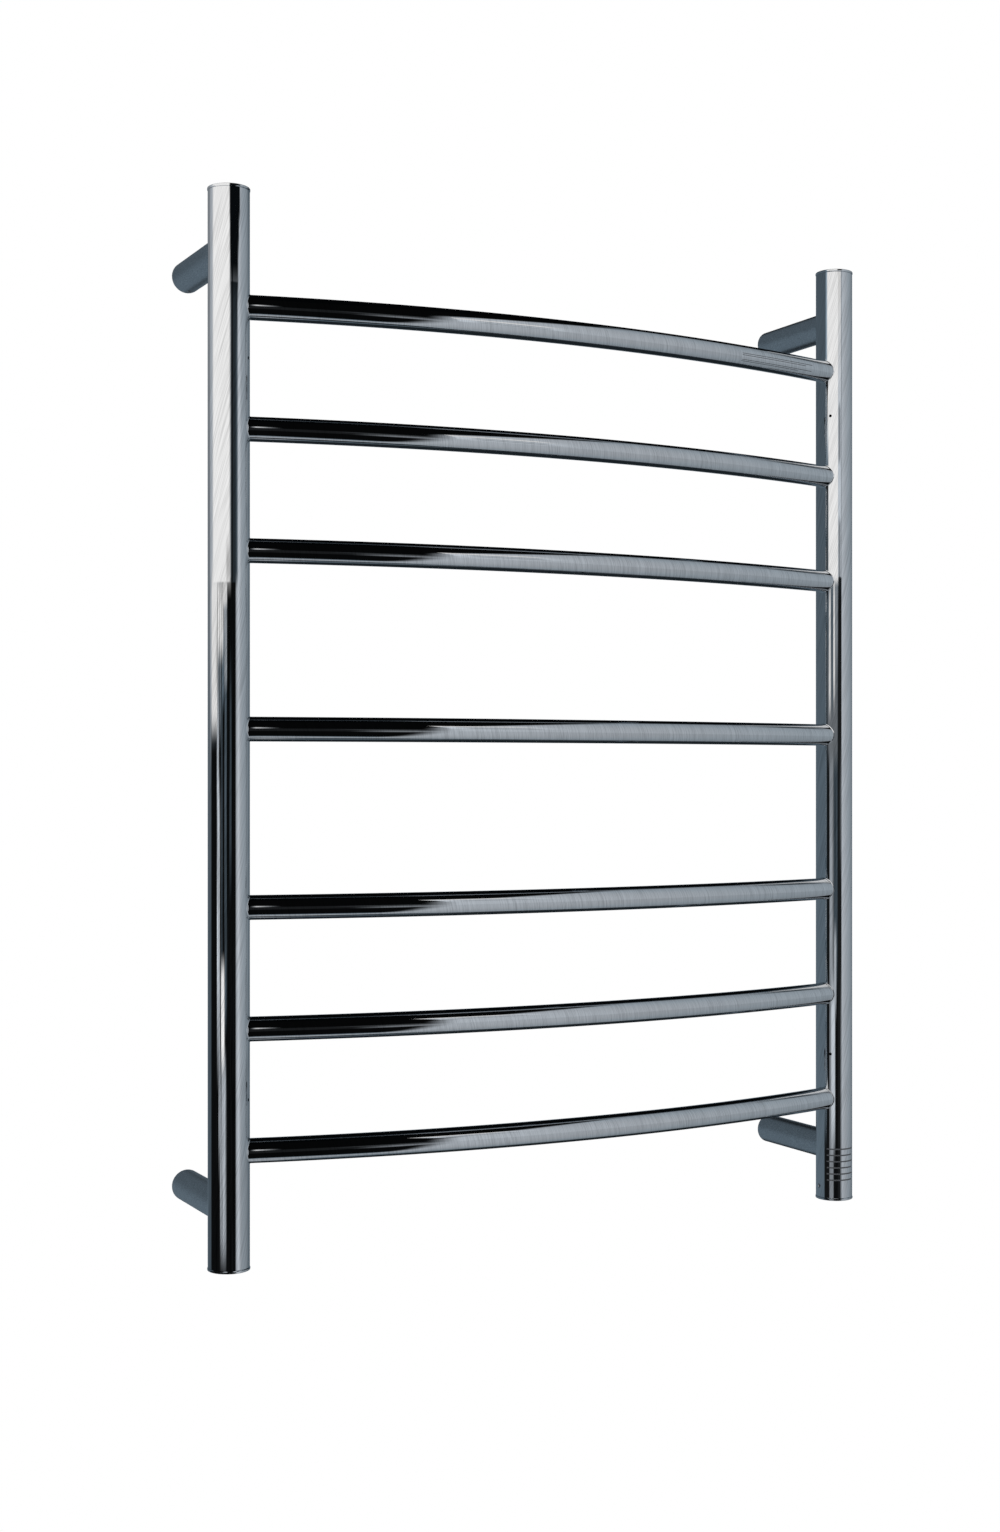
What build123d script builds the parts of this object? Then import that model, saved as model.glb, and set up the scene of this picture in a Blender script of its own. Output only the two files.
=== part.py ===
from build123d import *
import math
import os

# Wall-mounted electric towel warmer: two vertical tubes, seven bars bowed
# towards the room, four stand-off posts that slip over bosses screwed to the
# wall. Millimetres. X runs along the wall, +Y into the wall, +Z up. The origin
# is the centre of the four wall fixings, on the wall plane.

# ---------------------------------------------------------------- overall
RACK_WIDTH = 600.0            # over the outsides of the uprights
RACK_HEIGHT = 825.0           # over the end caps
AXIS_TO_WALL = 102.0          # upright centre line to wall

# ---------------------------------------------------------------- uprights
UP_R = 16.0                   # 32 mm tube
UP_WALL = 1.5
UP_RI = UP_R - UP_WALL
CAP_FLANGE = 2.0
UP_X = RACK_WIDTH / 2 - UP_R
UP_Y = -AXIS_TO_WALL
UP_HALF = RACK_HEIGHT / 2 - CAP_FLANGE
WIRE_HOLE_R = 6.0             # element passage behind each bar
VENT_R = 1.25                 # breather hole
VENT_FROM_END = 130.0
VENT_AZIMUTH = 48.0           # from the front towards the other upright

# ---------------------------------------------------------------- bars
BAR_R = 9.5                   # 19 mm tube
BAR_WALL = 1.2
BAR_RI = BAR_R - BAR_WALL
BAR_BOW = 38.5                # middle of the bar in front of its ends
BAR_Z = [322.5, 229.5, 136.5, 0.0, -136.5, -229.5, -322.5]
ARC_R = (UP_X ** 2 + BAR_BOW ** 2) / (2 * BAR_BOW)
ARC_Y = UP_Y - BAR_BOW + ARC_R
END_ANGLE = math.asin(UP_X / ARC_R)

# ---------------------------------------------------------------- posts
POST_R = 12.5
POST_RI = 10.0
POST_Z = 366.5                # above and below the origin
POST_EDGE = 1.5               # rounded rim at the wall
GRUB_FROM_WALL = 8.0
GRUB_R = 2.5                  # M5
CORD_HOLE_R = 5.0             # from the lower right post into its upright

# ---------------------------------------------------------------- wall bosses
BOSS_R = 9.85
BOSS_LEN = 16.0
BOSS_HOLE_R = 2.4             # for a 4.5 mm countersunk screw
BOSS_CSK_R = 4.1
BOSS_GROOVE_R = 8.4
BOSS_GROOVE_W = 5.4
NOTCH_R = 3.0                 # lead passage beside the screw
NOTCH_OFFSET = 7.2
LEAD_BORE_R = 2.2

# ---------------------------------------------------------------- end caps
CAP_R = 16.35
CAP_EDGE = 0.5
PLUG_R = 14.4
PLUG_RI = 12.0
PLUG_LEN = 14.0
RING_FROM_FLANGE = 4.6
RING_MAJOR = 13.8
RING_MINOR = 0.68
RING_GROOVE_R = 13.1
RING_GROOVE_W = 1.9
LOCK_FROM_END = 12.0          # lock screw above the bottom of the rack
LOCK_R = 2.0                  # M4

# ---------------------------------------------------------------- element
CABLE_R = 2.1
CABLE_BEND = 10.0
SLEEVE_R = 4.0
SLEEVE_FRONT = -72.0
SLEEVE_BACK = -28.0
SLEEVE_GRIP = 15.0            # cable length inside the sleeve
SEAL_R = 3.5
SEAL_LEN = 18.0
CABLE_TOP_RUN = 14.0          # straight end of the cable above the top bend

os.makedirs("parts", exist_ok=True)
written = []


def save(shape, name):
    """Write one node, keeping every solid of it."""
    solids = shape.solids()
    out = solids[0] if len(solids) == 1 else Compound(children=solids)
    out.label = name
    export_step(out, f"parts/{name}.step")
    written.append((name, sum(s.volume for s in solids), len(solids)))
    return out


def rod(r, p0, p1):
    """Solid cylinder between two points."""
    a, b = Vector(*p0), Vector(*p1)
    d = b - a
    return Plane(origin=(a + b) / 2, z_dir=d.normalized()).location * Cylinder(r, d.length)


def turned(points):
    """Solid of revolution about Z from (radius, height) points."""
    face = make_face(Plane.XZ * Polyline(*[(r, h) for r, h in points], close=True))
    return revolve(face, axis=Axis.Z)


def from_wall(shape, x, z):
    """Stand a shape drawn about +Z on the wall, pointing into the room."""
    return Pos(x, 0, z) * Rot(90, 0, 0) * shape


def hex_prism(across_flats, p0, p1):
    """Hexagonal prism between two points."""
    a, b = Vector(*p0), Vector(*p1)
    d = b - a
    pl = Plane(origin=a, z_dir=d.normalized())
    return extrude(pl * RegularPolygon(across_flats / 2, 6, major_radius=False), amount=d.length)


# ================================================================ uprights
def upright(side):
    """side -1 is the left tube, +1 the right one."""
    x = side * UP_X
    tube = Pos(x, UP_Y, 0) * (Cylinder(UP_R, 2 * UP_HALF) - Cylinder(UP_RI, 2 * UP_HALF + 2))
    # passages for the element, in line with the end of each bar
    inward = (-side * math.cos(END_ANGLE), -math.sin(END_ANGLE))
    for z in BAR_Z:
        tube -= rod(WIRE_HOLE_R,
                    (x + inward[0] * (UP_RI - 5), UP_Y + inward[1] * (UP_RI - 5), z),
                    (x + inward[0] * (UP_R + 3), UP_Y + inward[1] * (UP_R + 3), z))
    # breather holes on the inner front quarter
    va = math.radians(VENT_AZIMUTH)
    vx, vy = -side * math.sin(va), -math.cos(va)
    for z in (RACK_HEIGHT / 2 - VENT_FROM_END, -RACK_HEIGHT / 2 + VENT_FROM_END):
        tube -= rod(VENT_R, (x + vx * 12, UP_Y + vy * 12, z), (x + vx * 18, UP_Y + vy * 18, z))
    # hole for the lock screw of the bottom cap, facing the other upright
    zl = -RACK_HEIGHT / 2 + LOCK_FROM_END
    tube -= rod(LOCK_R + 0.1, (x - side * 12, UP_Y, zl), (x - side * 18, UP_Y, zl))
    # lead passage into the lower right post
    if side > 0:
        tube -= rod(CORD_HOLE_R, (x, UP_Y + 10, -POST_Z), (x, UP_Y + 18, -POST_Z))
    return tube


save(upright(-1), "left_upright")
save(upright(+1), "right_upright")


# ================================================================ bars
def bar(z):
    """Bowed tube, coped over both uprights."""
    ring = Circle(BAR_R) - Circle(BAR_RI)
    start = Plane(origin=(0, UP_Y - BAR_BOW, z), x_dir=(0, 1, 0), z_dir=(1, 0, 0))
    axis = Axis((0, ARC_Y, 0), (0, 0, 1))
    profile = (start * ring).rotate(axis, -math.degrees(END_ANGLE))
    tube = revolve(profile, axis=axis, revolution_arc=2 * math.degrees(END_ANGLE))
    for side in (-1, 1):
        tube -= Pos(side * UP_X, UP_Y, z) * Cylinder(UP_R, 4 * BAR_R)
    return tube


for i, z in enumerate(BAR_Z):
    save(bar(z), f"bar_{i + 1}")


# ================================================================ end caps
def end_cap(locked, earthed):
    """Cap drawn for the bottom of a tube: flange below z 0, plug above."""
    g0 = RING_FROM_FLANGE - RING_GROOVE_W / 2
    g1 = RING_FROM_FLANGE + RING_GROOVE_W / 2
    cap = turned([
        (0, -CAP_FLANGE), (CAP_R - CAP_EDGE, -CAP_FLANGE), (CAP_R, -CAP_FLANGE + CAP_EDGE),
        (CAP_R, 0), (PLUG_R, 0), (PLUG_R, g0), (RING_GROOVE_R, g0), (RING_GROOVE_R, g1),
        (PLUG_R, g1), (PLUG_R, PLUG_LEN - 0.8), (PLUG_R - 0.8, PLUG_LEN), (PLUG_RI, PLUG_LEN),
        (PLUG_RI, 0), (0, 0)])
    if earthed:
        cap += Pos(0, 0, 2.0) * Cylinder(4.0, 4.0)
        cap -= Pos(0, 0, 2.25) * Cylinder(2.0, 3.6)
    return cap


def place_cap(shape, side, top):
    z = UP_HALF if top else -UP_HALF
    flip = Rot(180, 0, 0) if top else Rot(0, 0, 0)
    return Pos(side * UP_X, UP_Y, z) * flip * shape


RING_Z = UP_HALF - RING_FROM_FLANGE
for side, sname in ((-1, "left"), (1, "right")):
    for top, tname in ((True, "top"), (False, "bottom")):
        cap = place_cap(end_cap(not top, side > 0 and not top), side, top)
        if not top:
            zl = -RACK_HEIGHT / 2 + LOCK_FROM_END
            cap -= rod(LOCK_R + 0.03, (side * (UP_X - 10), UP_Y, zl), (side * (UP_X - 18), UP_Y, zl))
        save(cap, f"end_cap_{tname}_{sname}")
        seal = Pos(side * UP_X, UP_Y, RING_Z if top else -RING_Z) * Torus(RING_MAJOR, RING_MINOR)
        save(seal, f"cap_seal_{tname}_{sname}")


# ================================================================ lock screws
def lock_screw(side):
    """M4 grub screw through the tube into the bottom cap."""
    zl = -RACK_HEIGHT / 2 + LOCK_FROM_END
    s = side
    outer = s * (UP_X - 15.6)
    inner = s * (UP_X - 11.9)
    body = rod(LOCK_R - 0.02, (outer, UP_Y, zl), (inner, UP_Y, zl))
    return body - hex_prism(2.0, (outer - s * 0.5, UP_Y, zl), (outer + s * 2.0, UP_Y, zl))


save(lock_screw(-1), "cap_lock_screw_left")
save(lock_screw(+1), "cap_lock_screw_right")


# ================================================================ posts
post_blank = Pos(0, 0, AXIS_TO_WALL / 2) * Cylinder(POST_R, AXIS_TO_WALL)
post_blank = fillet(post_blank.edges().sort_by(Axis.Z)[0], POST_EDGE)
post_blank -= Pos(0, 0, AXIS_TO_WALL / 2) * Cylinder(POST_RI, AXIS_TO_WALL + 2)


def post(side, level):
    """Stand-off tube, coped over the back of its upright."""
    x, z = side * UP_X, level * POST_Z
    tube = from_wall(post_blank, x, z)
    tube -= Pos(x, UP_Y, z) * Cylinder(UP_R, 4 * POST_R)
    tube -= rod(GRUB_R, (x, -GRUB_FROM_WALL, z - POST_RI + 2), (x, -GRUB_FROM_WALL, z - POST_R - 1))
    return tube


def wall_boss(side, level):
    """Turned boss, screwed to the wall; its groove takes the grub screw."""
    g0 = GRUB_FROM_WALL - BOSS_GROOVE_W / 2
    g1 = GRUB_FROM_WALL + BOSS_GROOVE_W / 2
    boss = turned([
        (BOSS_HOLE_R, 0), (BOSS_R, 0), (BOSS_R, g0), (BOSS_GROOVE_R, g0), (BOSS_GROOVE_R, g1),
        (BOSS_R, g1), (BOSS_R, BOSS_LEN - 0.8), (BOSS_R - 0.8, BOSS_LEN), (BOSS_CSK_R, BOSS_LEN),
        (BOSS_HOLE_R, BOSS_LEN - (BOSS_CSK_R - BOSS_HOLE_R))])
    boss = from_wall(boss, side * UP_X, level * POST_Z)
    if side > 0 and level < 0:
        zc = level * POST_Z + NOTCH_OFFSET
        boss -= rod(NOTCH_R, (side * UP_X, 1, zc), (side * UP_X, -BOSS_LEN - 1, zc))
    return boss


def grub_screw(side, level):
    """M5 grub screw, up through the underside of the post."""
    x, z = side * UP_X, level * POST_Z
    lo, hi = z - POST_R + 0.3, z - BOSS_GROOVE_R - 0.02
    body = rod(GRUB_R - 0.04, (x, -GRUB_FROM_WALL, lo), (x, -GRUB_FROM_WALL, hi))
    return body - hex_prism(2.5, (x, -GRUB_FROM_WALL, lo - 0.5), (x, -GRUB_FROM_WALL, lo + 2.2))


for side, sname in ((-1, "left"), (1, "right")):
    for level, lname in ((1, "top"), (-1, "bottom")):
        save(post(side, level), f"post_{lname}_{sname}")
        save(wall_boss(side, level), f"wall_boss_{lname}_{sname}")
        save(grub_screw(side, level), f"post_grub_screw_{lname}_{sname}")


# ================================================================ element
# One heating cable: from the splice in the lower right post up the right
# upright, to and fro through all seven bars, to its sealed end in the top of
# the left upright.
def bar_run(z, leftward):
    """Centre line in one bar, stopping one bend radius short of each upright."""
    a = END_ANGLE - CABLE_BEND / ARC_R
    pts = [(s * ARC_R * math.sin(a), ARC_Y - ARC_R * math.cos(a), z) for s in (1, -1)]
    mid = (0, UP_Y - BAR_BOW, z)
    if not leftward:
        pts.reverse()
    return ThreePointArc(pts[0], mid, pts[1])


def corner(p0, t0, p1, t1):
    """Quarter bend between two points with their directions."""
    p0, p1 = Vector(*p0), Vector(*p1)
    t0, t1 = Vector(*t0), Vector(*t1)
    centre = p0 + t1 * CABLE_BEND
    m = centre + ((p0 - centre) + (p1 - centre)).normalized() * CABLE_BEND
    return ThreePointArc(p0, m, p1)


a_end = END_ANGLE - CABLE_BEND / ARC_R
run_x = ARC_R * math.sin(a_end)                      # where the bends start
run_y = ARC_Y - ARC_R * math.cos(a_end)
riser_x = run_x + CABLE_BEND * math.cos(a_end)       # vertical runs
riser_y = run_y + CABLE_BEND * math.sin(a_end)

edges = []
# out of the splice, towards the room, then up
edges.append(Line((riser_x, SLEEVE_FRONT + SLEEVE_GRIP, -POST_Z),
                  (riser_x, riser_y + CABLE_BEND, -POST_Z)))
edges.append(corner((riser_x, riser_y + CABLE_BEND, -POST_Z), (0, -1, 0),
                    (riser_x, riser_y, -POST_Z + CABLE_BEND), (0, 0, 1)))
z_now = -POST_Z + CABLE_BEND
leftward = True
for z in reversed(BAR_Z):
    s = 1 if leftward else -1                        # upright that it comes from
    edges.append(Line((s * riser_x, riser_y, z_now), (s * riser_x, riser_y, z - CABLE_BEND)))
    into = (-s * math.cos(a_end), -math.sin(a_end), 0)
    edges.append(corner((s * riser_x, riser_y, z - CABLE_BEND), (0, 0, 1),
                        (s * run_x, run_y, z), into))
    edges.append(bar_run(z, leftward))
    out = (-s * math.cos(a_end), math.sin(a_end), 0)
    edges.append(corner((-s * run_x, run_y, z), out,
                        (-s * riser_x, riser_y, z + CABLE_BEND), (0, 0, 1)))
    z_now = z + CABLE_BEND
    leftward = not leftward
end_x = -riser_x
edges.append(Line((end_x, riser_y, z_now), (end_x, riser_y, z_now + CABLE_TOP_RUN)))
path = Wire([e.edge() if hasattr(e, "edge") else e for e in edges])
section = Plane(origin=(riser_x, SLEEVE_FRONT + SLEEVE_GRIP, -POST_Z), z_dir=(0, -1, 0)) * Circle(CABLE_R)
cable = sweep(section, path=path)
save(cable, "heating_cable")
print("cable length", round(path.length, 1), "volume ratio",
      round(cable.volume / (math.pi * CABLE_R ** 2 * path.length), 4))

# crimped and shrunk splice between the cable and the supply lead
sleeve = rod(SLEEVE_R, (riser_x, SLEEVE_FRONT, -POST_Z), (riser_x, SLEEVE_BACK, -POST_Z))
sleeve -= rod(CABLE_R + 0.02, (riser_x, SLEEVE_FRONT - 1, -POST_Z),
              (riser_x, SLEEVE_FRONT + SLEEVE_GRIP + 0.02, -POST_Z))
sleeve -= rod(CABLE_R + 0.02, (riser_x, SLEEVE_BACK + 1, -POST_Z),
              (riser_x, SLEEVE_BACK - SLEEVE_GRIP, -POST_Z))
save(sleeve, "splice_sleeve")

# thermal cut-out, clipped under the sleeve
cutout = Pos(riser_x, -52, -POST_Z - 6.45) * Box(7.0, 16.0, 3.6)
cutout += rod(0.6, (riser_x - 2, -44, -POST_Z - 6.4), (riser_x - 2, -39, -POST_Z - 6.4))
cutout += rod(0.6, (riser_x + 2, -44, -POST_Z - 6.4), (riser_x + 2, -39, -POST_Z - 6.4))
save(cutout, "thermal_cutout")

# sealed end of the cable in the top of the left upright
z_tip = BAR_Z[0] + CABLE_BEND + CABLE_TOP_RUN
seal = rod(SEAL_R, (end_x, riser_y, z_tip - 10), (end_x, riser_y, z_tip - 10 + SEAL_LEN))
seal -= rod(CABLE_R + 0.02, (end_x, riser_y, z_tip - 11), (end_x, riser_y, z_tip + 0.02))
save(seal, "cable_end_seal")

# earth terminal and its screw, on the stud of the lower right cap
ez = -UP_HALF + 4.0
terminal = Pos(UP_X, UP_Y, ez + 0.4) * Cylinder(4.0, 0.8)
terminal += Pos(UP_X - 5.5, UP_Y, ez + 0.4) * Box(6.0, 4.0, 0.8)
terminal += rod(1.7, (UP_X - 7.0, UP_Y, ez + 1.3), (UP_X - 11.5, UP_Y, ez + 1.3))
terminal -= Pos(UP_X, UP_Y, ez + 0.4) * Cylinder(2.1, 2.0)
save(terminal, "earth_terminal")
screw = rod(3.5, (UP_X, UP_Y, ez + 0.8), (UP_X, UP_Y, ez + 3.2))
screw += rod(1.96, (UP_X, UP_Y, ez + 0.9), (UP_X, UP_Y, ez - 3.4))
screw -= Pos(UP_X, UP_Y, ez + 3.2) * Box(8, 0.9, 1.8)
save(screw, "earth_screw")

# rubber bush that lines the lead passage of the lower right boss
gz = -POST_Z + NOTCH_OFFSET
bush = rod(NOTCH_R - 0.03, (UP_X, -BOSS_LEN, gz), (UP_X, 0, gz))
bush += rod(NOTCH_R + 0.9, (UP_X, -BOSS_LEN - 1.5, gz), (UP_X, -BOSS_LEN, gz))
bush &= (rod(POST_RI - 0.08, (UP_X, -BOSS_LEN - 3, -POST_Z), (UP_X, 1, -POST_Z))
         - rod(BOSS_CSK_R + 0.05, (UP_X, -BOSS_LEN - 4, -POST_Z), (UP_X, 2, -POST_Z)))
bush -= rod(LEAD_BORE_R, (UP_X, -BOSS_LEN - 4, gz), (UP_X, 2, gz))
save(bush, "lead_grommet")

for name, volume, count in written:
    print(f"{name:34s} {count:2d} solid(s) {volume:10.1f} mm3")
print(len(written), "nodes; bar arc radius", round(ARC_R, 2), "end slope",
      round(math.degrees(END_ANGLE), 2))
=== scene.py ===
import math

import bmesh
import bpy
import numpy as np
from mathutils import Matrix, Vector


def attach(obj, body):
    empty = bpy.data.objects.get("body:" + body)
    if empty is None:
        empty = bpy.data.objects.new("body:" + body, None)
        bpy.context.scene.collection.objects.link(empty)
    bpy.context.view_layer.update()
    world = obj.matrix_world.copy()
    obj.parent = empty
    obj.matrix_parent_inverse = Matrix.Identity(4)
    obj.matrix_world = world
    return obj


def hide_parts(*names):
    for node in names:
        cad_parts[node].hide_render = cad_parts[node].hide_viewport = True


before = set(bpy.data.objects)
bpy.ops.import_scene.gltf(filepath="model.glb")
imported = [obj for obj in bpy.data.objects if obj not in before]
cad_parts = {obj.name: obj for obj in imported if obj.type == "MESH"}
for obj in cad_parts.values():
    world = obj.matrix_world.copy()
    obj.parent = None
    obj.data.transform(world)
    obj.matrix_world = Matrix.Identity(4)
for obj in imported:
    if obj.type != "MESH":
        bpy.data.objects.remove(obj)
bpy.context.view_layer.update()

scene = bpy.context.scene

# ------------------------------------------------------------------ sizes, metres
UP_X, UP_Y = 0.284, -0.102
UP_R, UP_RI, UP_HALF = 0.016, 0.0145, 0.4105
RACK_HALF = 0.4125
BAR_R, BAR_RI, BOW = 0.0095, 0.0083, 0.0385
BAR_Z = [0.3225, 0.2295, 0.1365, 0.0, -0.1365, -0.2295, -0.3225]
ARC_R = (UP_X ** 2 + BOW ** 2) / (2 * BOW)
ARC_Y = UP_Y - BOW + ARC_R
END_ANGLE = math.asin(UP_X / ARC_R)
POST_R, POST_RI, POST_Z = 0.0125, 0.010, 0.3665
CAP_R, PLUG_R, PLUG_RI = 0.01635, 0.0144, 0.012
SIDES = ((-1, "left"), (1, "right"))

# ------------------------------------------------------------------ camera
cam_data = bpy.data.cameras.new("camera")
cam = bpy.data.objects.new("camera", cam_data)
scene.collection.objects.link(cam)
cam_data.sensor_width = 36.0
cam_data.lens = 47.13
cam_data.shift_y = 0.00405
cam_data.clip_start, cam_data.clip_end = 0.01, 100
yaw = math.radians(27.19)
cam.location = (-0.7995, -1.5586, -0.0330)
cam.rotation_euler = Vector((math.sin(yaw), math.cos(yaw), 0)).to_track_quat("-Z", "Y").to_euler()
scene.camera = cam
scene.view_settings.view_transform = "Standard"
scene.view_settings.look = "None"


# ------------------------------------------------------------------ node helper
class Nodes:
    """Short spelling for building a node tree."""

    def __init__(self, tree):
        self.t = tree
        tree.nodes.clear()

    def new(self, kind, **settings):
        n = self.t.nodes.new(kind)
        for k, v in settings.items():
            setattr(n, k, v)
        return n

    def put(self, socket, value):
        if isinstance(value, bpy.types.NodeSocket):
            self.t.links.new(value, socket)
        else:
            socket.default_value = value

    def math(self, op, a, b=0.0, c=0.0):
        n = self.new("ShaderNodeMath", operation=op)
        self.put(n.inputs[0], a)
        self.put(n.inputs[1], b)
        self.put(n.inputs[2], c)
        return n.outputs[0]

    def ramp(self, x, a, b, lo=0.0, hi=1.0, smooth=True):
        """lo at a and hi at b, level outside."""
        n = self.new("ShaderNodeMapRange", interpolation_type="SMOOTHSTEP" if smooth else "LINEAR")
        self.put(n.inputs["Value"], x)
        n.inputs["From Min"].default_value = a
        n.inputs["From Max"].default_value = b
        n.inputs["To Min"].default_value = lo
        n.inputs["To Max"].default_value = hi
        return n.outputs["Result"]

    def mix(self, fac, a, b):
        n = self.new("ShaderNodeMix", data_type="RGBA")
        self.put(n.inputs[0], fac)
        self.put(n.inputs[6], a)
        self.put(n.inputs[7], b)
        return n.outputs[2]

    def vmath(self, op, a, b=(0, 0, 0)):
        n = self.new("ShaderNodeVectorMath", operation=op)
        self.put(n.inputs[0], a)
        self.put(n.inputs[1], b)
        return n.outputs[0]

    def noise(self, vector, scale=1.0, detail=2.0, rough=0.5):
        n = self.new("ShaderNodeTexNoise", noise_dimensions="3D")
        self.put(n.inputs["Vector"], vector)
        n.inputs["Scale"].default_value = scale
        n.inputs["Detail"].default_value = detail
        n.inputs["Roughness"].default_value = rough
        return n.outputs[0]


def lin(v):
    v = v / 255.0
    return v / 12.92 if v <= 0.04045 else ((v + 0.055) / 1.055) ** 2.4


# ------------------------------------------------------------------ studio
STEEL = (0.655, 0.675, 0.695)
NEUTRAL, COOL, SLATE = (1.0, 1.0, 1.0), (0.912, 0.997, 1.094), (0.743, 1.01, 1.257)


def light(value, tint):
    """Radiance that the polished steel shows as this display value."""
    return tuple(lin(value) * t / s for t, s in zip(tint, STEEL)) + (1.0,)


world = bpy.data.worlds.new("studio")
scene.world = world
world.use_nodes = True
W = Nodes(world.node_tree)
direction = W.new("ShaderNodeTexCoord").outputs["Generated"]
sep = W.new("ShaderNodeSeparateXYZ")
W.put(sep.inputs[0], direction)
DX, DY, DZ = sep.outputs
TO_DEG = 180 / math.pi
AZ = W.math("MULTIPLY", W.math("ARCTAN2", DX, W.math("MULTIPLY", DY, -1.0)), TO_DEG)
EL = W.math("MULTIPLY", W.math("ARCSINE", DZ), TO_DEG)


def patch(under, value, tint, az, el, faz=3.0, fel=1.2, on=None):
    """A softbox, flag or wall: a feathered rectangle, in azimuth and elevation on the world."""
    n, a, e = on or (W, AZ, EL)
    m = n.ramp(a, az[0] - faz, az[0] + faz)
    m = n.math("MULTIPLY", m, n.ramp(a, az[1] - faz, az[1] + faz, 1.0, 0.0))
    m = n.math("MULTIPLY", m, n.ramp(e, el[0] - fel, el[0] + fel))
    m = n.math("MULTIPLY", m, n.ramp(e, el[1] - fel, el[1] + fel, 1.0, 0.0))
    return n.mix(m, under, light(value, tint))


# behind: a slate backdrop, dark where only the outlines of the bars see it
sky = W.mix(W.ramp(EL, -12, 14), light(100, SLATE), light(80, SLATE))
sky = patch(sky, 25, SLATE, (95, 168), (22, 91), 8, 5)
sky = patch(sky, 45, SLATE, (118, 168), (-75, -22), 8, 5)
# the studio's floor
sky = patch(sky, 150, COOL, (-240, 240), (-91, -71), 14, 4)
# ceiling: dark
sky = patch(sky, 3, NEUTRAL, (-240, 240), (54, 91), 20, 6)
# front left, low: dark, with stands and a lit doorway
sky = patch(sky, 14, COOL, (-83, 20), (-66, 2), 4, 3)
sky = patch(sky, 20, COOL, (-100, -70), (-40, -9.8), 5, 0.8)
sky = patch(sky, 128, COOL, (-65, -40), (-60, 1.6), 4, 1.2)
sky = patch(sky, 156, COOL, (-62, -50), (-5.6, -1.2), 3, 1.0)
sky = patch(sky, 196, COOL, (-54, -30), (-10.2, -6.0), 4, 0.8)
sky = patch(sky, 70, SLATE, (-38, -14), (-5.6, 0.6), 4, 0.8)
sky = patch(sky, 168, COOL, (-36, -22), (-6.6, -4.5), 3, 0.5)
sky = patch(sky, 30, SLATE, (-31, -27), (-3.0, -0.4), 3, 0.8)
sky = patch(sky, 104, COOL, (-76, -14), (0.4, 3.4), 4, 0.6)
sky = patch(sky, 205, NEUTRAL, (-69, -57), (1.8, 5.3), 2.5, 0.5)
sky = patch(sky, 84, SLATE, (-52, -42), (1.8, 4.9), 3, 0.5)
sky = patch(sky, 212, NEUTRAL, (-41, -30), (2.2, 5.4), 2.0, 0.7)
sky = patch(sky, 130, COOL, (-28, -12), (3.2, 5.4), 5, 0.6)
sky = patch(sky, 14, COOL, (-80, -70), (-6.5, 0.5), 2, 0.6)
sky = patch(sky, 40, SLATE, (-86, -80), (0.4, 5.4), 1.5, 0.3)
# front left, high: a large white softbox with a straight lower edge
sky = patch(sky, 66, SLATE, (-92, -60), (5.2, 9.0), 4, 0.6)
sky = patch(sky, 150, SLATE, (-90, -60), (9.0, 60), 5, 1.4)
sky = patch(sky, 229, NEUTRAL, (-72, -8), (5.35, 58), 4, 0.15)
sky = patch(sky, 229, NEUTRAL, (-81, -60), (9.4, 58), 5, 1.0)
sky = patch(sky, 50, SLATE, (-90, -80), (5.6, 8.0), 2, 0.4)
sky = patch(sky, 60, SLATE, (-86, -78), (9.7, 10.9), 2, 0.3)
# front: the dark end of the room
sky = patch(sky, 6, COOL, (-7, 60), (5, 91), 1.5, 1)
sky = patch(sky, 6, COOL, (-15, 60), (16, 91), 1.5, 1)
sky = patch(sky, 8, COOL, (-10, 40), (-66, 5.6), 4, 1.0)
sky = patch(sky, 26, COOL, (-12, 20), (-17, 4.4), 3, 2)
sky = patch(sky, 80, COOL, (2, 14), (-2.4, 0.2), 3, 0.9)
sky = patch(sky, 110, COOL, (5, 20), (-20, -6.5), 3, 1.5)
# front right: a large pale grey wall whose rounded edge starts 10 degrees right of the front
wall = W.mix(W.ramp(AZ, 12, 40, smooth=False), light(180, COOL), light(161, COOL))
wall = W.mix(W.ramp(AZ, 40, 66, smooth=False), wall, light(150, (0.86, 1.0, 1.13)))
wall = W.mix(W.ramp(AZ, 66, 92, smooth=False), wall, light(135, (0.86, 1.0, 1.13)))
wall = W.mix(W.ramp(AZ, 92, 125, smooth=False), wall, light(94, SLATE))
low = W.new("ShaderNodeVectorMath", operation="SCALE")
W.put(low.inputs[0], wall)
W.put(low.inputs["Scale"], W.ramp(EL, -13, -5, 0.87, 1.0))
off = W.math("ABSOLUTE", W.math("DIVIDE", W.math("SUBTRACT", AZ, 90.0), 77.5))

off = W.math("ADD", off, W.ramp(EL, 26, 50, 0.0, 0.06))


def rounded(reach, power):
    rise = W.math("POWER", W.math("ABSOLUTE", W.math("DIVIDE", EL, reach)), power)
    return W.math("POWER", W.math("ADD", W.math("POWER", off, power), rise), 1 / power)


upper = W.math("GREATER_THAN", EL, 0.0)
inside = W.math("ADD", W.math("MULTIPLY", upper, rounded(58.5, 2.8)),
                W.math("MULTIPLY", W.math("SUBTRACT", 1.0, upper), rounded(80.0, 3.0)))
sky = W.mix(W.ramp(inside, 0.97, 1.03, 1.0, 0.0), sky, low.outputs[0])
sky = patch(sky, 46, SLATE, (84, 107), (32, 44), 5, 3)
# behind and to the right, above and below the wall: dark
sky = patch(sky, 4, SLATE, (106, 168), (17, 91), 5, 3)
sky = patch(sky, 4, SLATE, (-240, 240), (66, 91), 5, 4)
sky = patch(sky, 30, SLATE, (108, 168), (-67, -17), 5, 3)

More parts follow.
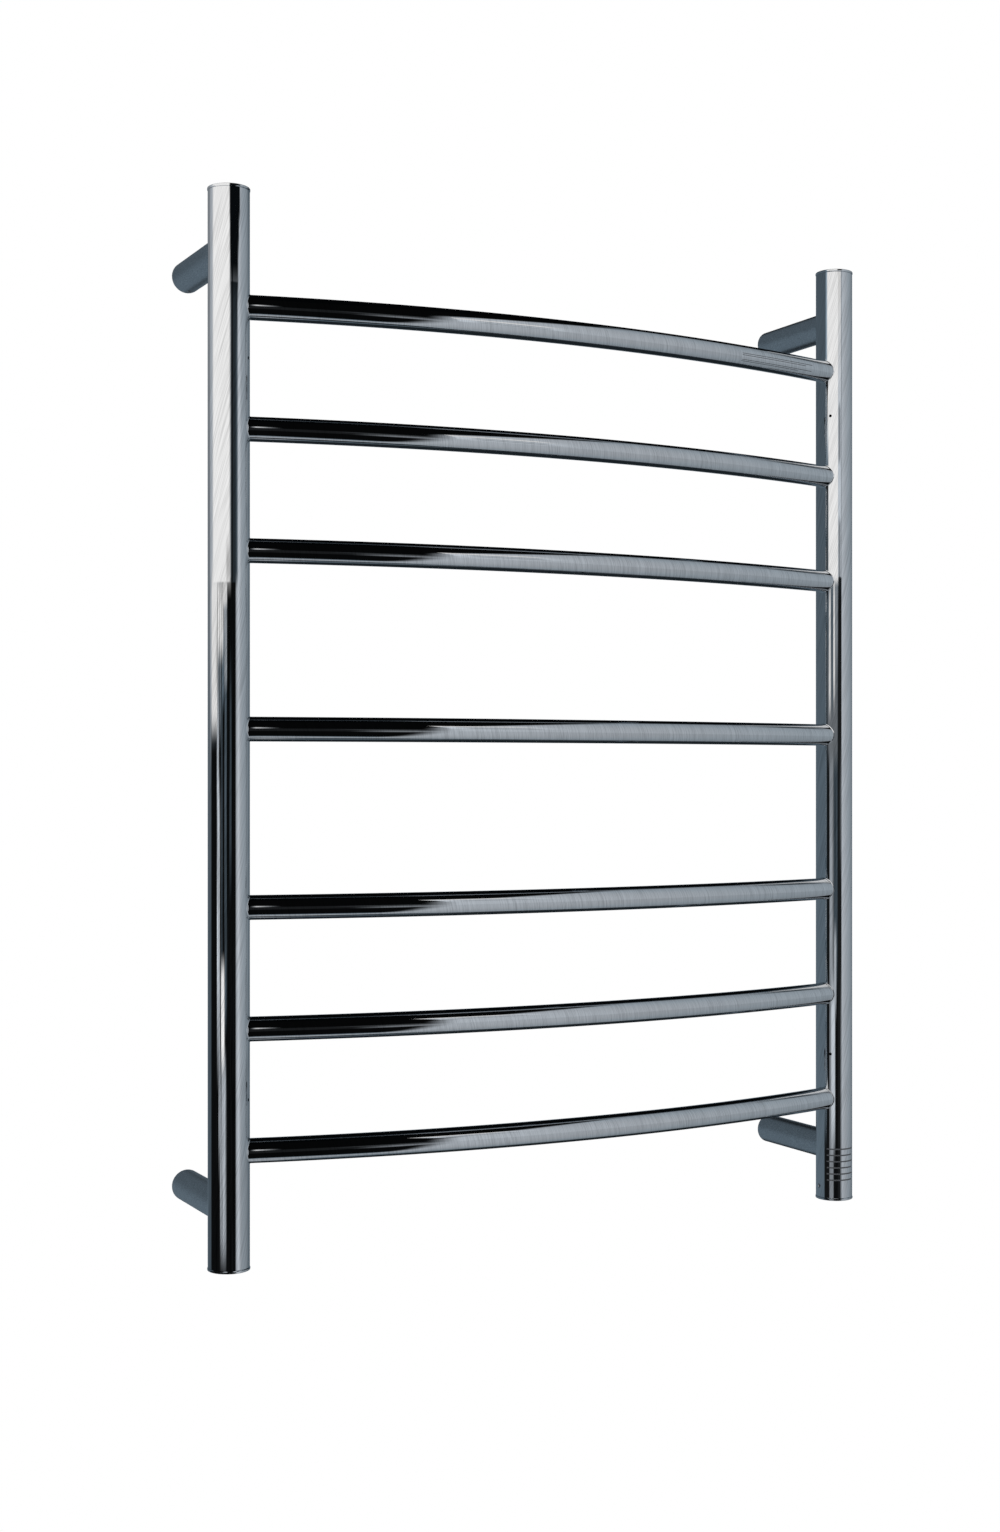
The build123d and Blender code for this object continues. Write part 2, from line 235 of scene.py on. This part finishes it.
lp = W.new("ShaderNodeLightPath")
bg_env = W.new("ShaderNodeBackground")
W.put(bg_env.inputs["Color"], sky)
bg_white = W.new("ShaderNodeBackground")
bg_white.inputs["Color"].default_value = (1, 1, 1, 1)
plain = W.math("MAXIMUM", lp.outputs["Is Camera Ray"], lp.outputs["Is Diffuse Ray"])
both = W.new("ShaderNodeMixShader")
W.put(both.inputs[0], plain)
W.t.links.new(bg_env.outputs[0], both.inputs[1])
W.t.links.new(bg_white.outputs[0], both.inputs[2])
W.t.links.new(both.outputs[0], W.new("ShaderNodeOutputWorld").inputs["Surface"])


# ------------------------------------------------------------------ materials
def material(name):
    m = bpy.data.materials.new(name)
    m.use_nodes = True
    n = Nodes(m.node_tree)
    p = n.new("ShaderNodeBsdfPrincipled")
    n.t.links.new(p.outputs[0], n.new("ShaderNodeOutputMaterial").inputs["Surface"])
    return m, n, p


def rgba(c, k=1.0):
    return tuple(min(1.0, x * k) for x in c) + (1.0,)


def finish_bump(n, p, height, depth):
    bump = n.new("ShaderNodeBump")
    bump.inputs["Strength"].default_value = 1.0
    bump.inputs["Distance"].default_value = depth
    n.put(bump.inputs["Height"], height)
    n.put(p.inputs["Normal"], bump.outputs[0])


def polished(name, twist, fine, along, rough, depth, tone):
    """Belt-polished tube: lines drawn out along helices; twist in radians a metre."""
    m, n, p = material(name)
    tube = n.new("ShaderNodeAttribute", attribute_name="tube").outputs["Vector"]
    s = n.new("ShaderNodeSeparateXYZ")
    n.put(s.inputs[0], tube)

    def lines(tw, f, a, detail):
        rot = n.new("ShaderNodeVectorRotate", rotation_type="Z_AXIS")
        n.put(rot.inputs["Vector"], tube)
        n.put(rot.inputs["Angle"], n.math("MULTIPLY", s.outputs[2], tw))
        return n.noise(n.vmath("MULTIPLY", rot.outputs[0], (f, f, a)), 1.0, detail, 0.6)

    both_lines = n.math("ADD", n.math("MULTIPLY", lines(twist, fine, along, 3.0), 0.6),
                        n.math("MULTIPLY", lines(twist * 0.93, fine * 2.7, along * 1.9, 2.0), 0.4))
    cloud = n.noise(tube, 38.0, 2.0)
    colour = n.mix(n.ramp(both_lines, 0.44, 0.60), rgba(STEEL, 1 + tone * 0.35), rgba(STEEL, 1 - tone))
    colour = n.mix(n.ramp(cloud, 0.35, 0.7, 0.0, 0.5), colour, rgba(STEEL, 0.97))
    n.put(p.inputs["Base Color"], colour)
    n.put(p.inputs["Roughness"], n.math("ADD", n.ramp(both_lines, 0.35, 0.68, rough[0], rough[1]),
                                       n.ramp(cloud, 0.3, 0.75, -0.008, 0.012)))
    p.inputs["Metallic"].default_value = 1.0
    finish_bump(n, p, both_lines, depth)
    return m


def plain_metal(name, base, rough, grain=2200.0, depth=3e-6, stretch=(1, 1, 1), tone=0.08):
    """Satin or turned metal with a fine grain."""
    m, n, p = material(name)
    c = n.new("ShaderNodeTexCoord").outputs["Object"]
    g = n.noise(n.vmath("MULTIPLY", c, stretch), grain, 3.0, 0.6)
    cloud = n.noise(c, 90.0, 2.0)
    colour = n.mix(n.ramp(g, 0.35, 0.7), rgba(base, 1 - tone), rgba(base, 1 + tone))
    colour = n.mix(n.ramp(cloud, 0.3, 0.7, 0.0, 0.35), colour, rgba(base, 0.9))
    n.put(p.inputs["Base Color"], colour)
    n.put(p.inputs["Roughness"], n.ramp(g, 0.25, 0.75, rough * 0.85, rough * 1.15))
    p.inputs["Metallic"].default_value = 1.0
    finish_bump(n, p, g, depth)
    return m


def soft(name, base, rough, grain=900.0, depth=2e-5, tone=0.12):
    """Rubber, silicone or moulded plastic."""
    m, n, p = material(name)
    c = n.new("ShaderNodeTexCoord").outputs["Object"]
    g = n.noise(c, grain, 3.0, 0.55)
    big = n.noise(c, grain / 14, 2.0)
    n.put(p.inputs["Base Color"], n.mix(n.ramp(big, 0.3, 0.7), rgba(base, 1 - tone), rgba(base, 1 + tone)))
    n.put(p.inputs["Roughness"], n.ramp(g, 0.3, 0.7, rough * 0.85, min(1.0, rough * 1.12)))
    finish_bump(n, p, g, depth)
    return m


TUBE_STEEL = polished("polished_upright", -19.0, 1150.0, 14.0, (0.010, 0.030), 1.2e-6, 0.22)
BAR_STEEL = polished("polished_bar", 390.0, 480.0, 150.0, (0.010, 0.030), 1.2e-6, 0.24)
CAP_STEEL = plain_metal("polished_cap", STEEL, 0.10, 1800.0, 2e-6, (1, 1, 3), 0.05)
POST_STEEL = plain_metal("satin_post", (0.62, 0.645, 0.67), 0.33, 1500.0, 5e-6, (1, 0.5, 1), 0.24)
BOSS_STEEL = plain_metal("turned_boss", (0.60, 0.61, 0.62), 0.28, 1500.0, 4e-6, (1, 4, 1))
SCREW_STEEL = plain_metal("screw_steel", (0.60, 0.61, 0.63), 0.25, 2500.0)
TINNED = plain_metal("tinned_terminal", (0.70, 0.70, 0.69), 0.3)
BRASS = plain_metal("brass_screw", (0.78, 0.60, 0.30), 0.28)
RUBBER = soft("seal_rubber", (0.022, 0.022, 0.024), 0.7)
SILICONE = soft("seal_silicone", (0.48, 0.09, 0.06), 0.5)
JACKET = soft("cable_jacket", (0.55, 0.10, 0.05), 0.45)
SLEEVE = soft("sleeve_plastic", (0.03, 0.03, 0.034), 0.38)
CASE = soft("cutout_case", (0.62, 0.59, 0.50), 0.45)
ETCH = soft("etched_mark", (0.055, 0.06, 0.068), 0.55, 3000.0, 3e-6)


# ------------------------------------------------------------------ mesh helpers
def raw(name, verts, faces):
    me = bpy.data.meshes.new(name)
    me.from_pydata([tuple(v) for v in verts], [], [tuple(f) for f in faces])
    bm = bmesh.new()
    bm.from_mesh(me)
    bmesh.ops.recalc_face_normals(bm, faces=bm.faces)
    bm.to_mesh(me)
    bm.free()
    ob = bpy.data.objects.new(name, me)
    scene.collection.objects.link(ob)
    return ob


def done(ob, mat, nodes=(), tube=None, normals=None, sharp=33):
    """Shading, finish, slot and body of a finished mesh."""
    me = ob.data
    me.materials.clear()
    me.materials.append(mat)
    me.shade_smooth()
    me.set_sharp_from_angle(angle=math.radians(sharp))
    if tube is not None:
        co = np.empty(len(me.vertices) * 3, np.float32)
        me.vertices.foreach_get("co", co)
        me.attributes.new("tube", "FLOAT_VECTOR", "POINT").data.foreach_set(
            "vector", np.ascontiguousarray(tube(co.reshape(-1, 3).astype(float)), np.float32).ravel())
    if normals is not None:
        co = np.empty(len(me.vertices) * 3, np.float32)
        me.vertices.foreach_get("co", co)
        co = co.reshape(-1, 3).astype(float)
        vi = np.empty(len(me.loops), np.int32)
        me.loops.foreach_get("vertex_index", vi)
        ln = np.empty(len(me.loops) * 3, np.float32)
        me.corner_normals.foreach_get("vector", ln)
        ln = ln.reshape(-1, 3).astype(float)
        fn = np.empty(len(me.polygons) * 3, np.float32)
        me.polygons.foreach_get("normal", fn)
        tot = np.empty(len(me.polygons), np.int32)
        me.polygons.foreach_get("loop_total", tot)
        fn = np.repeat(fn.reshape(-1, 3).astype(float), tot, axis=0)
        me.normals_split_custom_set([tuple(v) for v in normals(co[vi], fn, ln)])
    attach(ob, "root")
    if nodes:
        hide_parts(*nodes)
    return ob


def rings_to_faces(rings, closed=True):
    """Quads between rings of vertex numbers; a ring of one number is a pole."""
    faces = []
    pairs = list(zip(rings, rings[1:])) + ([(rings[-1], rings[0])] if closed else [])
    for a, b in pairs:
        n = max(len(a), len(b))
        for k in range(n):
            m = (k + 1) % n
            if len(a) == 1 and len(b) == 1:
                continue
            if len(a) == 1:
                faces.append((a[0], b[m], b[k]))
            elif len(b) == 1:
                faces.append((a[k], a[m], b[0]))
            else:
                faces.append((a[k], a[m], b[m], b[k]))
    return faces


def lathe(name, profile, seg, place, closed=True):
    """Turned piece from (radius, height) points; place maps its own axes to the row frame."""
    verts, rings = [], []
    for r, h in profile:
        if r < 1e-7:
            rings.append([len(verts)])
            verts.append(place(0, 0, h))
        else:
            rings.append(list(range(len(verts), len(verts) + seg)))
            for k in range(seg):
                a = 2 * math.pi * k / seg
                verts.append(place(r * math.cos(a), r * math.sin(a), h))
    return raw(name, verts, rings_to_faces(rings, closed))


def arc(cr, ch, r, a0, a1, n):
    """Points of a quarter round in a lathe profile, angles in degrees."""
    return [(cr + r * math.cos(math.radians(a0 + (a1 - a0) * i / n)),
             ch + r * math.sin(math.radians(a0 + (a1 - a0) * i / n))) for i in range(n + 1)]


def drill(ob, holes):
    """Cut round holes, each (from, to, radius), in one exact boolean."""
    bm = bmesh.new()
    for p0, p1, r in holes:
        p0, p1 = Vector(p0), Vector(p1)
        d = p1 - p0
        turn = Vector((0, 0, 1)).rotation_difference(d.normalized()).to_matrix().to_4x4()
        bmesh.ops.create_cone(bm, cap_ends=True, segments=48, radius1=r, radius2=r, depth=d.length,
                              matrix=Matrix.Translation((p0 + p1) / 2) @ turn)
    me = bpy.data.meshes.new("drill")
    bm.to_mesh(me)
    bm.free()
    tool = bpy.data.objects.new("drill", me)
    scene.collection.objects.link(tool)
    mod = ob.modifiers.new("cut", "BOOLEAN")
    mod.operation, mod.solver, mod.object = "DIFFERENCE", "EXACT", tool
    bpy.context.view_layer.update()
    new = bpy.data.meshes.new_from_object(ob.evaluated_get(bpy.context.evaluated_depsgraph_get()))
    ob.modifiers.clear()
    old = ob.data
    ob.data = new
    bpy.data.meshes.remove(old)
    bpy.data.objects.remove(tool)
    return ob


# ------------------------------------------------------------------ uprights
def upright(side, word):
    seg, x0, b = 144, side * UP_X, 0.00040
    zs = list(np.linspace(-UP_HALF + b, UP_HALF - b, 41))
    prof = [(UP_R, z) for z in zs] + [(UP_R - b, UP_HALF), (UP_RI + b, UP_HALF)]
    prof += [(UP_RI, z) for z in reversed(zs[::4])] + [(UP_RI + b, -UP_HALF), (UP_R - b, -UP_HALF)]
    ob = lathe(word + "_upright_tube", prof, seg, lambda x, y, h: (x0 + x, UP_Y + y, h))
    holes = []
    c, s = math.cos(END_ANGLE), math.sin(END_ANGLE)
    for z in BAR_Z:
        holes.append(((x0 - side * c * 0.0105, UP_Y - s * 0.0105, z),
                      (x0 - side * c * 0.019, UP_Y - s * 0.019, z), 0.006))
    va = math.radians(48)
    for z in (RACK_HALF - 0.130, -RACK_HALF + 0.130):
        holes.append(((x0 - side * math.sin(va) * 0.012, UP_Y - math.cos(va) * 0.012, z),
                      (x0 - side * math.sin(va) * 0.018, UP_Y - math.cos(va) * 0.018, z), 0.00125))
    zl = -RACK_HALF + 0.012
    holes.append(((x0 - side * 0.012, UP_Y, zl), (x0 - side * 0.018, UP_Y, zl), 0.0021))
    if side > 0:
        holes.append(((x0, UP_Y + 0.010, -POST_Z), (x0, UP_Y + 0.018, -POST_Z), 0.005))
    drill(ob, holes)

    def tube(co):
        return np.column_stack([co[:, 0] - x0, co[:, 1] - UP_Y, co[:, 2] + side * 0.35])

    def normals(co, fn, ln):
        rad = co - np.array([x0, UP_Y, 0])
        rad[:, 2] = 0
        rr = np.linalg.norm(rad, axis=1)[:, None]
        rad = rad / rr
        d = (fn * rad).sum(1)[:, None]
        flat = np.abs(fn[:, 2:3]) < 0.05
        out = np.where((d > 0.985) & flat & (rr > UP_R - 2e-5), rad, ln)
        return np.where((d < -0.985) & flat & (rr < UP_RI + 2e-5), -rad, out)

    return done(ob, TUBE_STEEL, [word + "_upright"], tube, normals)


for side, word in SIDES:
    upright(side, word)


# ------------------------------------------------------------------ bars
def bar_end(r, theta, reach):
    """Arc angle where a bar's surface line meets a cylinder of this radius about an upright."""
    rho = ARC_R + r * math.cos(theta)
    return END_ANGLE - math.acos((rho ** 2 + ARC_R ** 2 - reach ** 2) / (2 * rho * ARC_R))


def bar_point(r, theta, phi, z):
    rho = ARC_R + r * math.cos(theta)
    return np.array([rho * math.sin(phi), ARC_Y - rho * math.cos(phi), z + r * math.sin(theta)])


def bar(index, z, weld=0.0007, seg=96, length=84):
    verts, rings = [], []

    def ring(points):
        rings.append(list(range(len(verts), len(verts) + seg)))
        verts.extend(points)

    angles = [2 * math.pi * k / seg for k in range(seg)]
    steps = 7
    inner = np.linspace(-1, 1, 33)

    def side_rings(side, order):
        for i in order:
            t = i / steps
            pts = []
            for a in angles:
                e = bar_end(BAR_R, a, UP_R)
                p0 = bar_point(BAR_R, a, side * (e - weld / (ARC_R + BAR_R * math.cos(a))), z)
                p1 = bar_point(BAR_R, a, side * e, z)
                p2 = bar_point(BAR_R + weld, a, side * bar_end(BAR_R + weld, a, UP_R), z)
                pts.append((1 - t) ** 2 * p0 + 2 * t * (1 - t) * p1 + t * t * p2)
            ring(pts)

    def sunk(side):
        ring([bar_point(BAR_R + weld, a, side * bar_end(BAR_R + weld, a, UP_R - 0.0001), z) for a in angles])

    sunk(-1)
    side_rings(-1, range(steps, -1, -1))
    for u in np.linspace(-1, 1, length + 1)[1:-1]:
        ring([bar_point(BAR_R, a, u * (bar_end(BAR_R, a, UP_R) - weld / (ARC_R + BAR_R * math.cos(a))), z)
              for a in angles])
    side_rings(1, range(0, steps + 1))
    sunk(1)
    for u in inner[::-1]:
        ring([bar_point(BAR_RI, a, u * bar_end(BAR_RI, a, UP_R - 0.0001), z) for a in angles])
    ob = raw(f"bar_{index}_tube", verts, rings_to_faces(rings))

    def tube(co):
        dx, dy = co[:, 0], ARC_Y - co[:, 1]
        rho, phi = np.hypot(dx, dy), np.arctan2(dx, dy)
        return np.column_stack([rho - ARC_R, co[:, 2] - z, phi * ARC_R + 0.83 * index])

    return done(ob, BAR_STEEL, [f"bar_{index}"], tube, sharp=50)


for i, z in enumerate(BAR_Z):
    bar(i + 1, z)


# ------------------------------------------------------------------ posts
def post(side, level, name, weld=0.0008, seg=96):
    x0, z0 = side * UP_X, level * POST_Z
    verts, rings = [], []
    angles = [2 * math.pi * k / seg for k in range(seg)]

    def at(r, a, y):
        return np.array([x0 + r * math.cos(a), y, z0 + r * math.sin(a)])

    def meet(r, a, reach=UP_R):
        return UP_Y + math.sqrt(reach ** 2 - (r * math.cos(a)) ** 2)

    def ring(points):
        rings.append(list(range(len(verts), len(verts) + seg)))
        verts.extend(points)

    for r, y in arc(POST_R - 0.0015, -0.0015, 0.0015, 90, 0, 8):
        ring([at(r, a, y) for a in angles])
    for u in np.linspace(0, 1, 20)[1:-1]:
        ring([at(POST_R, a, -0.0015 + u * (meet(POST_R, a) + weld + 0.0015)) for a in angles])
    for i in range(8):
        t = i / 7
        ring([(1 - t) ** 2 * at(POST_R, a, meet(POST_R, a) + weld)
              + 2 * t * (1 - t) * at(POST_R, a, meet(POST_R, a))
              + t * t * at(POST_R + weld, a, meet(POST_R + weld, a)) for a in angles])
    ring([at(POST_R + weld, a, meet(POST_R + weld, a, UP_R - 0.0001)) for a in angles])
    for u in np.linspace(1, 0, 8):
        ring([at(POST_RI, a, -0.0002 + u * (meet(POST_RI, a, UP_R - 0.0001) + 0.0002)) for a in angles])
    ring([at(POST_RI + 0.0002, a, 0.0) for a in angles])
    ob = raw(name + "_tube", verts, rings_to_faces(rings))
    drill(ob, [((x0, -0.008, z0 - POST_RI + 0.002), (x0, -0.008, z0 - POST_R - 0.001), 0.0025)])
    return done(ob, POST_STEEL, [name])


# ------------------------------------------------------------------ wall bosses
def wall_boss(side, level, name):
    x0, z0 = side * UP_X, level * POST_Z
    b = 0.0002
    prof = [(0.0024, 0), (0.00985 - b, 0), (0.00985, b), (0.00985, 0.0053 - b), (0.00985 - b, 0.0053),
            (0.0084, 0.0053), (0.0084, 0.0107), (0.00985 - b, 0.0107), (0.00985, 0.0107 + b),
            (0.00985, 0.0152 - b), (0.00985 - b, 0.0152 + b * 0.4), (0.00905 + b, 0.016 - b * 0.4),
            (0.00905 - b, 0.016), (0.0041 + b, 0.016), (0.0041 - b * 0.3, 0.016 - b * 0.7), (0.0024, 0.0143)]
    ob = lathe(name + "_turned", prof, 96, lambda x, y, h: (x0 + x, -h, z0 + y))
    if side > 0 and level < 0:
        zc = z0 + 0.0072
        drill(ob, [((x0, 0.001, zc), (x0, -0.017, zc), 0.003)])
    return done(ob, BOSS_STEEL, [name])


for side, word in SIDES:
    for level, lword in ((1, "top"), (-1, "bottom")):
        post(side, level, f"post_{lword}_{word}")
        wall_boss(side, level, f"wall_boss_{lword}_{word}")


# ------------------------------------------------------------------ end caps
def end_cap(side, top, name):
    x0 = side * UP_X
    zz, flip = (UP_HALF, -1) if top else (-UP_HALF, 1)
    e, b = 0.0006, 0.00045
    prof = [(0, -0.002)] + arc(CAP_R - e, -0.002 + e, e, -90, 0, 6)
    prof += [(CAP_R, -b), (CAP_R - b, 0), (PLUG_R, 0), (PLUG_R, 0.00365), (0.0131, 0.00365),
             (0.0131, 0.00555), (PLUG_R, 0.00555), (PLUG_R, 0.0132), (PLUG_R - 0.0008, 0.014),
             (PLUG_RI, 0.014), (PLUG_RI, 0)]
    if side > 0 and not top:
        prof += [(0.004, 0), (0.004, 0.004), (0.002, 0.004), (0.002, 0.00045), (0, 0.00045)]
    else:
        prof += [(0, 0)]
    ob = lathe(name + "_turned", prof, 144, lambda x, y, h: (x0 + x, UP_Y + y, zz + flip * h), closed=False)
    if not top:
        zl = -RACK_HALF + 0.012
        drill(ob, [((x0 - side * 0.010, UP_Y, zl), (x0 - side * 0.018, UP_Y, zl), 0.00203)])
    return done(ob, CAP_STEEL, [name])


for side, word in SIDES:
    end_cap(side, True, "end_cap_top_" + word)
    end_cap(side, False, "end_cap_bottom_" + word)

# ------------------------------------------------------------------ the rest keep their own meshes
FINISH = {
    "cap_seal": RUBBER, "lead_grommet": RUBBER, "cap_lock_screw": SCREW_STEEL,
    "post_grub_screw": SCREW_STEEL, "heating_cable": JACKET, "splice_sleeve": SLEEVE,
    "thermal_cutout": CASE, "cable_end_seal": SILICONE, "earth_terminal": TINNED, "earth_screw": BRASS,
}
for n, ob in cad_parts.items():
    for start, mat in FINISH.items():
        if n.startswith(start):
            if len(ob.material_slots) == 0:
                ob.data.materials.append(mat)
            else:
                for ms in ob.material_slots:
                    ms.material = mat

# ------------------------------------------------------------------ studio cards that only reflections see
def lit(name, build):
    """Emission material whose colour comes from build(nodes, azimuth, height)."""
    m = bpy.data.materials.new(name)
    m.use_nodes = True
    n = Nodes(m.node_tree)
    q = n.new("ShaderNodeSeparateXYZ")
    n.put(q.inputs[0], n.new("ShaderNodeTexCoord").outputs["Object"])
    a = n.math("MULTIPLY", n.math("ARCTAN2", q.outputs[0], n.math("MULTIPLY", q.outputs[1], -1.0)), TO_DEG)
    e = n.new("ShaderNodeEmission")
    n.put(e.inputs["Color"], build(n, a, q.outputs[2]))
    n.t.links.new(e.outputs[0], n.new("ShaderNodeOutputMaterial").inputs["Surface"])
    m.cycles.emission_sampling = "NONE"
    return m


def card(name, verts, faces, mat, origin):
    me = bpy.data.meshes.new(name)
    me.from_pydata(verts, [], faces)
    me.materials.append(mat)
    ob = bpy.data.objects.new(name, me)
    ob.location = origin
    scene.collection.objects.link(ob)
    ob.visible_camera = ob.visible_diffuse = ob.visible_shadow = ob.visible_transmission = False
    return ob


def near(az):
    """Where a reflection towards this azimuth meets the curved card round the left upright."""
    d = az + 19.5
    return -19.5 + d * (0.664 + 3.2e-6 * d * d)


def near_pattern(n, a, h):
    """Strips of light and shade, by azimuth in degrees and height in metres."""
    def p(under, value, tint, az, z, faz=3.0, fz=0.012):
        return patch(under, value, tint, (near(az[0]), near(az[1])), z, faz, fz, on=(n, a, h))

    c = n.mix(n.ramp(h, -0.2, 0.36), light(78, SLATE), light(126, COOL))
    c = p(c, 165, COOL, (-141, -110), (0.0, 0.6), 6, 0.04)
    # low: black, with a few narrow lit strips
    c = p(c, 12, COOL, (-131, 60), (-0.6, 0.0), 6, 0.02)
    c = p(c, 12, COOL, (-60, 60), (-0.6, 0.115), 4, 0.001)
    c = p(c, 204, COOL, (-86, -76), (-0.25, 0.02), 2.0, 0.03)
    c = p(c, 156, COOL, (-77, -69), (-0.32, -0.05), 2.0, 0.03)
    c = p(c, 118, COOL, (-69, -60), (-0.36, -0.25), 2.0, 0.02)
    c = p(c, 60, SLATE, (-62, -54), (-0.20, 0.06), 2.2, 0.02)
    c = p(c, 80, SLATE, (-42, -31), (-0.22, 0.05), 2.2, 0.02)
    c = p(c, 150, COOL, (-46, -30), (0.035, 0.105), 2.6, 0.012)
    c = p(c, 104, SLATE, (-54, -44), (0.02, 0.075), 2.4, 0.012)
    c = p(c, 222, NEUTRAL, (-62, -43), (-0.262, -0.180), 2.4, 0.012)
    c = p(c, 152, COOL, (-66, -35), (-0.40, -0.255), 4, 0.02)
    c = p(c, 58, SLATE, (-15, -5), (-0.11, 0.04), 2.6, 0.03)
    # the white softbox, its lower left part reaching further down
    c = p(c, 220, NEUTRAL, (-126, -84), (0.002, 0.12), 4, 0.014)
    c = p(c, 200, NEUTRAL, (-88, -50), (0.058, 0.115), 4, 0.014)
    c = p(c, 205, NEUTRAL, (-50, -30), (0.094, 0.115), 3, 0.005)
    c = p(c, 231, NEUTRAL, (-116, -13), (0.1115, 0.6), 6, 0.001)
    # dark band right of the camera's own reflection
    c = p(c, 176, NEUTRAL, (-33, -10), (0.1115, 0.14), 4, 0.014)
    c = p(c, 42, SLATE, (-9, 60), (0.1115, 0.34), 2.5, 0.001)
    c = p(c, 76, SLATE, (20, 60), (0.1115, 0.30), 2.5, 0.02)
    c = p(c, 20, COOL, (-3, 3), (0.1115, 0.6), 1.2, 0.001)
    c = p(c, 10, SLATE, (-12, 60), (0.335, 0.6), 2.5, 0.02)
    c = p(c, 183, COOL, (30, 70), (-0.6, 0.33), 3.0, 0.01)
    c = p(c, 172, COOL, (33, 70), (0.32, 0.6), 3.0, 0.01)
    c = p(c, 10, SLATE, (-12, 38), (0.365, 0.6), 2.5, 0.012)
    c = p(c, 10, SLATE, (-14, 44), (0.388, 0.6), 2.5, 0.008)
    c = p(c, 170, COOL, (20.5, 70), (-0.6, 0.112), 3.5, 0.01)
    c = p(c, 187, COOL, (31, 70), (-0.6, 0.112), 3.0, 0.01)
    c = p(c, 166, COOL, (40, 70), (-0.6, 0.112), 2.0, 0.01)
    # painted streaks of light and shade across the card's lower strips, which show in the upright's reflection
    s = n.noise(n.vmath("MULTIPLY", n.new("ShaderNodeTexCoord").outputs["Object"], (1150, 1150, 9)), 1.0, 2.0, 0.6)
    low = n.math("MULTIPLY", n.ramp(h, 0.105, 0.115, 1.0, 0.0), n.ramp(a, near(-98), near(-88)))
    low = n.math("MULTIPLY", low, n.ramp(a, near(10), near(22), 1.0, 0.0))
    gain = n.math("ADD", 1.0, n.math("MULTIPLY", low, n.ramp(s, 0.40, 0.60, -0.50, 0.50)))
    g = n.new("ShaderNodeVectorMath", operation="SCALE")
    n.put(g.inputs[0], c)
    n.put(g.inputs["Scale"], gain)
    return g.outputs[0]


pts, quads, rad = [], [], 0.024
turns = np.linspace(near(-172), near(47), 90)
for t in turns:
    for zz in (-0.45, 0.45):
        pts.append((rad * math.sin(math.radians(t)), -rad * math.cos(math.radians(t)), zz))
for i in range(len(turns) - 1):
    quads.append((2 * i, 2 * i + 2, 2 * i + 3, 2 * i + 1))
card("card_by_left_upright", pts, quads, lit("card_strips", near_pattern), (-UP_X, UP_Y, 0))


def high_pattern(n, a, h):
    x = n.new("ShaderNodeSeparateXYZ")
    n.put(x.inputs[0], n.new("ShaderNodeTexCoord").outputs["Object"])
    c = n.mix(n.ramp(h, 0.42, 0.62), light(192, COOL), light(205, NEUTRAL))
    c = n.mix(n.ramp(x.outputs[0], 0.33, 0.45), c, light(173, COOL))
    for z0, z1 in ((0.10, 0.300), (0.376, 0.452)):
        c = patch(c, 134, COOL, (0.150, 0.365), (z0, z1), 0.022, 0.008, on=(n, x.outputs[0], h))
    return c


card("card_for_right_upright", [(0.100, -1.0, 0.225), (0.455, -1.0, 0.225), (0.455, -1.0, 0.665), (0.100, -1.0, 0.665)],
     [(0, 1, 2, 3)], lit("card_high", high_pattern), (0, 0, 0))

# ------------------------------------------------------------------ plain ruled marks, no lettering
def ruled(name, lines, lift=0.00003):
    """Thin dark lines: each is a closed strip between two edge curves given as (inner, outer) points."""
    verts, faces = [], []
    for rows in lines:
        base, count = len(verts), len(rows)
        for four in rows:
            verts.extend(four)
        for i in range(count - 1):
            a, b = base + 4 * i, base + 4 * i + 4
            for j in range(4):
                jj = (j + 1) % 4
                faces.append((a + j, a + jj, b + jj, b + j))
        faces.append(tuple(base + j for j in range(4)))
        faces.append(tuple(base + 4 * (count - 1) + j for j in (3, 2, 1, 0)))
    return done(raw(name, verts, faces), ETCH)


def bar_line(z, theta, half, phi0, phi1, n=60, lift=0.00003):
    rows = []
    for phi in np.linspace(phi0, phi1, n):
        rows.append([bar_point(BAR_R - 0.0002, theta - half, phi, z), bar_point(BAR_R + lift, theta - half, phi, z),
                     bar_point(BAR_R + lift, theta + half, phi, z), bar_point(BAR_R - 0.0002, theta + half, phi, z)])
    return rows


def tube_line(x0, z, half, a0, a1, n=60, lift=0.00003):
    rows = []
    for a in np.radians(np.linspace(a0, a1, n)):
        c = np.array([x0, UP_Y, 0.0])
        d = np.array([math.sin(a), -math.cos(a), 0.0])
        k = np.array([0, 0, 1.0])
        rows.append([c + d * (UP_R - 0.0002) + k * (z - half), c + d * (UP_R + lift) + k * (z - half),
                     c + d * (UP_R + lift) + k * (z + half), c + d * (UP_R - 0.0002) + k * (z + half)])
    return rows


ends = END_ANGLE * 0.985
ruled("bar_ruled_lines",
      [bar_line(BAR_Z[0], math.radians(t), math.radians(1.5), ends * f, ends * g)
       for t, f, g in ((4, 0.57, 0.87), (-5, 0.57, 0.84), (-28, 0.57, 0.87), (-36, 0.57, 0.81))])
ruled("upright_ruled_lines",
      [tube_line(UP_X, -0.3668 - 0.00548 * i, 0.0006, -60, 40 - (9 if i % 2 else 0)) for i in range(6)])

# ------------------------------------------------------------------ floor, well under the rack
bm = bmesh.new()
bmesh.ops.create_circle(bm, cap_ends=True, segments=96, radius=1.3,
                        matrix=Matrix.Translation((0, -0.3, -1.25)))
me = bpy.data.meshes.new("floor")
bm.to_mesh(me)
bm.free()
floor = bpy.data.objects.new("floor", me)
scene.collection.objects.link(floor)
floor_paint, _, paint = material("floor_paint")
paint.inputs["Base Color"].default_value = (0.86, 0.86, 0.86, 1)
paint.inputs["Roughness"].default_value = 0.8
me.materials.append(floor_paint)
floor.visible_glossy = False

bpy.context.view_layer.update()
